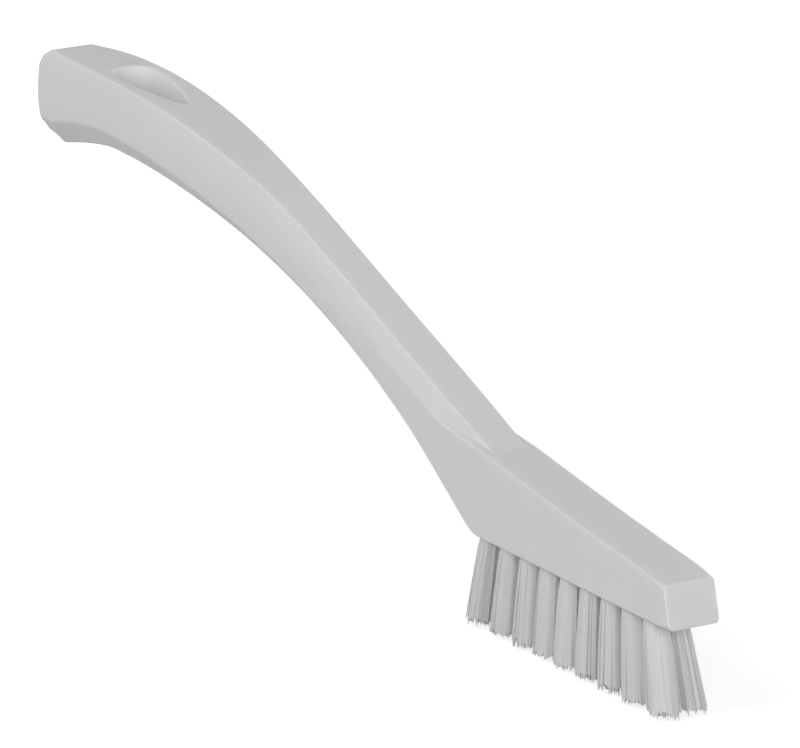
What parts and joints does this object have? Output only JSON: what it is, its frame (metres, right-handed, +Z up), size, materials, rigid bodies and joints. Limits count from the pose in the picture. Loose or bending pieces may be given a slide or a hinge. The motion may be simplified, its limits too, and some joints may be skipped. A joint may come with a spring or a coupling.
{
  "type": "detailing brush",
  "caption": "Narrow hand brush for detail cleaning: curved moulded handle with an oblong hanging hole in the heel, wedge-shaped head and rows of stiff filament tufts below it.",
  "frame": {"origin": "middle of the brush in length and width, in the plane of the bristle tips", "axes": "+X along the brush towards the tip of the head, +Z up from the bristle tips to the handle, +Y to the side that is away from the viewer of the picture"},
  "size_m": [0.205, 0.0126, 0.0671],
  "materials": {
    "body_plastic": "white moulded polypropylene with a fine satin skin",
    "filament": "white polyester filament, stiff and slightly translucent",
    "anchor_steel": "flattened stainless wire"
  },
  "bodies": {
    "root": {"brush_body": "body_plastic", "near_row_bristles": "filament", "far_row_bristles": "filament", "near_anchor_1": "anchor_steel", "near_anchor_2": "anchor_steel", "near_anchor_3": "anchor_steel", "near_anchor_4": "anchor_steel", "near_anchor_5": "anchor_steel", "near_anchor_6": "anchor_steel", "near_anchor_7": "anchor_steel", "near_anchor_8": "anchor_steel", "near_anchor_9": "anchor_steel", "far_anchor_1": "anchor_steel", "far_anchor_2": "anchor_steel", "far_anchor_3": "anchor_steel", "far_anchor_4": "anchor_steel", "far_anchor_5": "anchor_steel", "far_anchor_6": "anchor_steel", "far_anchor_7": "anchor_steel", "far_anchor_8": "anchor_steel", "far_anchor_9": "anchor_steel"}
  },
  "joints": []
}
